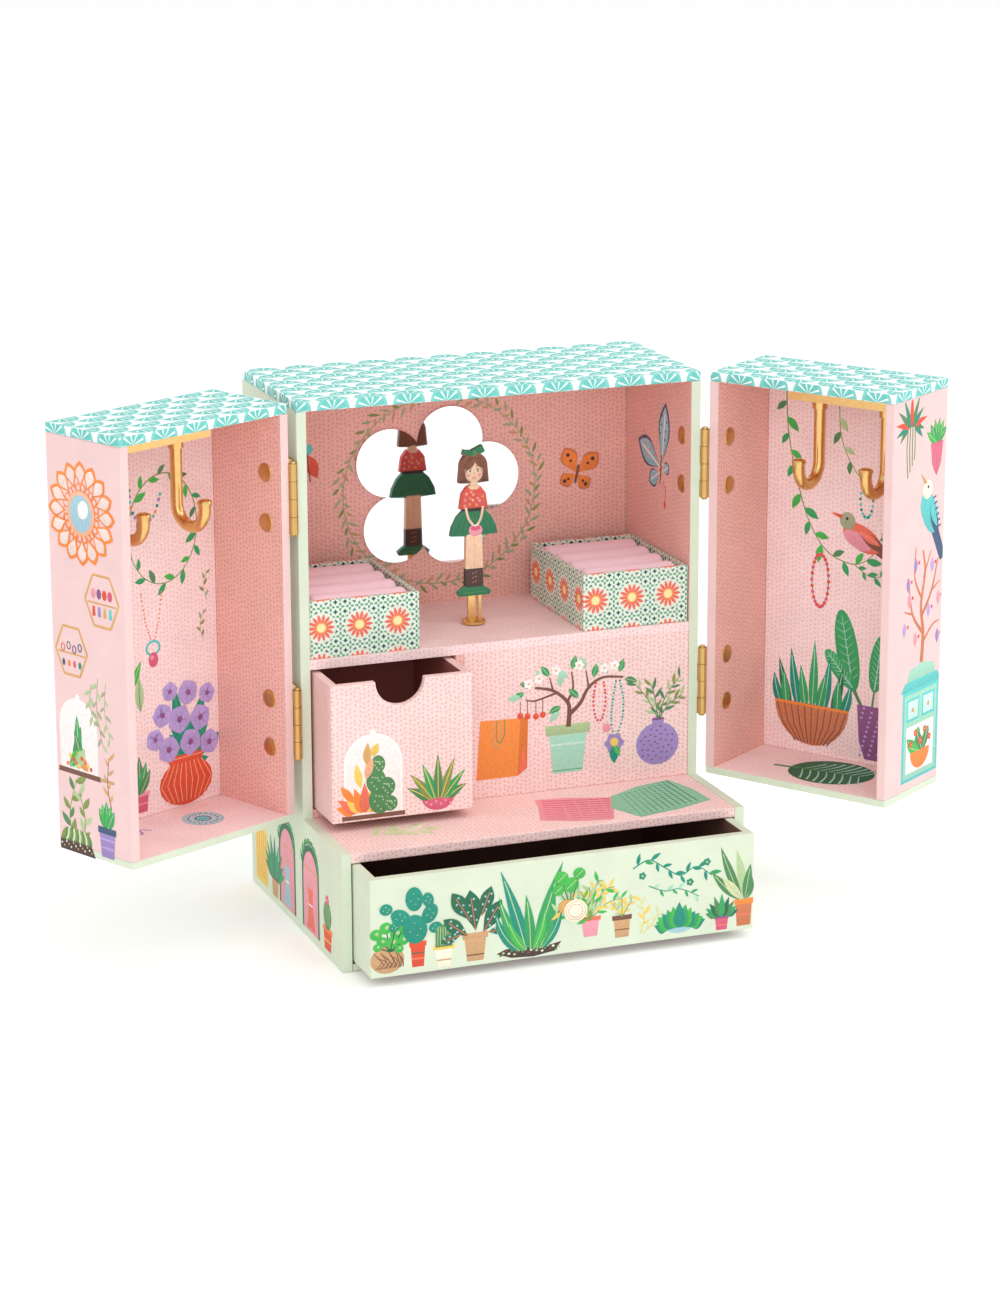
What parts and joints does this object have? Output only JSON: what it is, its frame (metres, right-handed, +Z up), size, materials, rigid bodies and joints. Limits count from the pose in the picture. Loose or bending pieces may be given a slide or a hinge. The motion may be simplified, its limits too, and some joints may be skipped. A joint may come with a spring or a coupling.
{
  "type": "musical jewellery cupboard",
  "caption": "Paper-covered musical jewellery cupboard with box doors on brass hinges, necklace hooks, drawers, ring trays, a mirror and a turning card figure.",
  "frame": {"origin": "on the floor under the middle of the width, in the plane of the upper cupboard's front edges", "axes": "+X to the right as seen from the front, +Y towards the back, +Z up"},
  "size_m": [0.313, 0.1413, 0.1913],
  "materials": {
    "mint_paper": "fibreboard covered in printed satin paper",
    "mint_print": "fibreboard covered in printed satin paper",
    "fan_paper": "fibreboard covered in printed satin paper",
    "pale_pink_paper": "fibreboard covered in printed satin paper",
    "pink_paper": "fibreboard covered in printed satin paper",
    "drawer_lining": "fibreboard with a dark paper lining",
    "tile_paper": "board covered in tile-patterned paper",
    "foam_velvet": "flocked foam",
    "mirror_plate": "silvered",
    "printed_card": "printed board",
    "plated_brass": "polished",
    "movement_brass": "turned",
    "movement_steel": "brushed"
  },
  "bodies": {
    "cabinet": {"left_side_board": "mint_paper", "right_side_board": "mint_paper", "back_panel": "pink_paper", "roof_board": "fan_paper", "stage_board": "pink_paper", "divider_board": "pink_paper", "music_panel": "pink_paper", "platform_board": "pale_pink_paper", "base_floor": "mint_paper", "drawer_runner": "pink_paper", "cabinet_hinge_leaves": "plated_brass", "hinge_pins": "plated_brass", "cabinet_hinge_rivets": "plated_brass", "left_ring_tray": "tile_paper", "left_ring_rolls": "foam_velvet", "right_ring_tray": "tile_paper", "right_ring_rolls": "foam_velvet", "mirror": "mirror_plate", "movement_frame": "movement_steel", "movement_screws": "movement_steel", "comb": "movement_steel", "comb_screws": "movement_steel"},
    "left_door": {"left_door_panel": "pink_paper", "left_door_hinge_wall": "pink_paper", "left_door_meeting_wall": "pale_pink_paper", "left_door_roof": "fan_paper", "left_door_floor": "mint_paper", "left_door_hinge_leaves": "plated_brass", "left_door_rivets": "plated_brass", "left_hook_rail": "plated_brass", "left_hooks": "plated_brass"},
    "right_door": {"right_door_panel": "pink_paper", "right_door_hinge_wall": "pink_paper", "right_door_meeting_wall": "pale_pink_paper", "right_door_roof": "fan_paper", "right_door_floor": "mint_paper", "right_door_hinge_leaves": "plated_brass", "right_door_rivets": "plated_brass", "right_hook_rail": "plated_brass", "right_hooks": "plated_brass"},
    "upper_drawer": {"upper_drawer_front": "pink_paper", "upper_drawer_sides": "pink_paper", "upper_drawer_back": "drawer_lining", "upper_drawer_floor": "drawer_lining"},
    "lower_drawer": {"lower_drawer_front": "mint_print", "lower_drawer_sides": "mint_print", "lower_drawer_back": "drawer_lining", "lower_drawer_floor": "drawer_lining"},
    "figure": {"figure_card": "printed_card", "figure_stand": "plated_brass", "crown_wheel": "movement_brass"},
    "music_drum": {"pinned_cylinder": "movement_brass", "star_wheel": "movement_brass", "spring_barrel": "movement_brass", "mainspring": "movement_steel"},
    "governor": {"governor_fan": "movement_steel"},
    "winder": {"winding_arbor": "movement_steel", "winding_key": "movement_brass"}
  },
  "joints": [
    {"name": "left_door_hinge", "type": "hinge", "parent": "cabinet", "child": "left_door", "pos_m": [-0.07665, -0.0004, 0.118], "axis": [0, 0, -1], "range_deg": [-154.5, 25.5]},
    {"name": "right_door_hinge", "type": "hinge", "parent": "cabinet", "child": "right_door", "pos_m": [0.07665, -0.0004, 0.118], "axis": [0, 0, 1], "range_deg": [-124, 56]},
    {"name": "upper_drawer_slide", "type": "slide", "parent": "cabinet", "child": "upper_drawer", "axis": [0, -1, 0], "range_m": [-0.019, 0.026]},
    {"name": "lower_drawer_slide", "type": "slide", "parent": "cabinet", "child": "lower_drawer", "axis": [0, -1, 0], "range_m": [-0.018, 0.06]},
    {"name": "music_drum_turn", "type": "hinge", "parent": "cabinet", "child": "music_drum", "pos_m": [-0.0015, 0.026, 0.06], "axis": [0, 1, 0], "continuous": true},
    {"name": "figure_turn", "type": "hinge", "parent": "cabinet", "child": "figure", "pos_m": [-0.0015, 0.026, 0.1], "axis": [0, 0, 1], "continuous": true},
    {"name": "governor_turn", "type": "hinge", "parent": "cabinet", "child": "governor", "pos_m": [-0.00999, 0.02, 0.05151], "axis": [0, 1, 0], "continuous": true},
    {"name": "winding_key_turn", "type": "hinge", "parent": "cabinet", "child": "winder", "pos_m": [-0.0015, 0.06, 0.06], "axis": [0, 1, 0], "continuous": true}
  ],
  "couplings": [
    {"joint": "figure_turn", "follows": "music_drum_turn", "ratio": 1},
    {"joint": "governor_turn", "follows": "music_drum_turn", "ratio": -5}
  ]
}
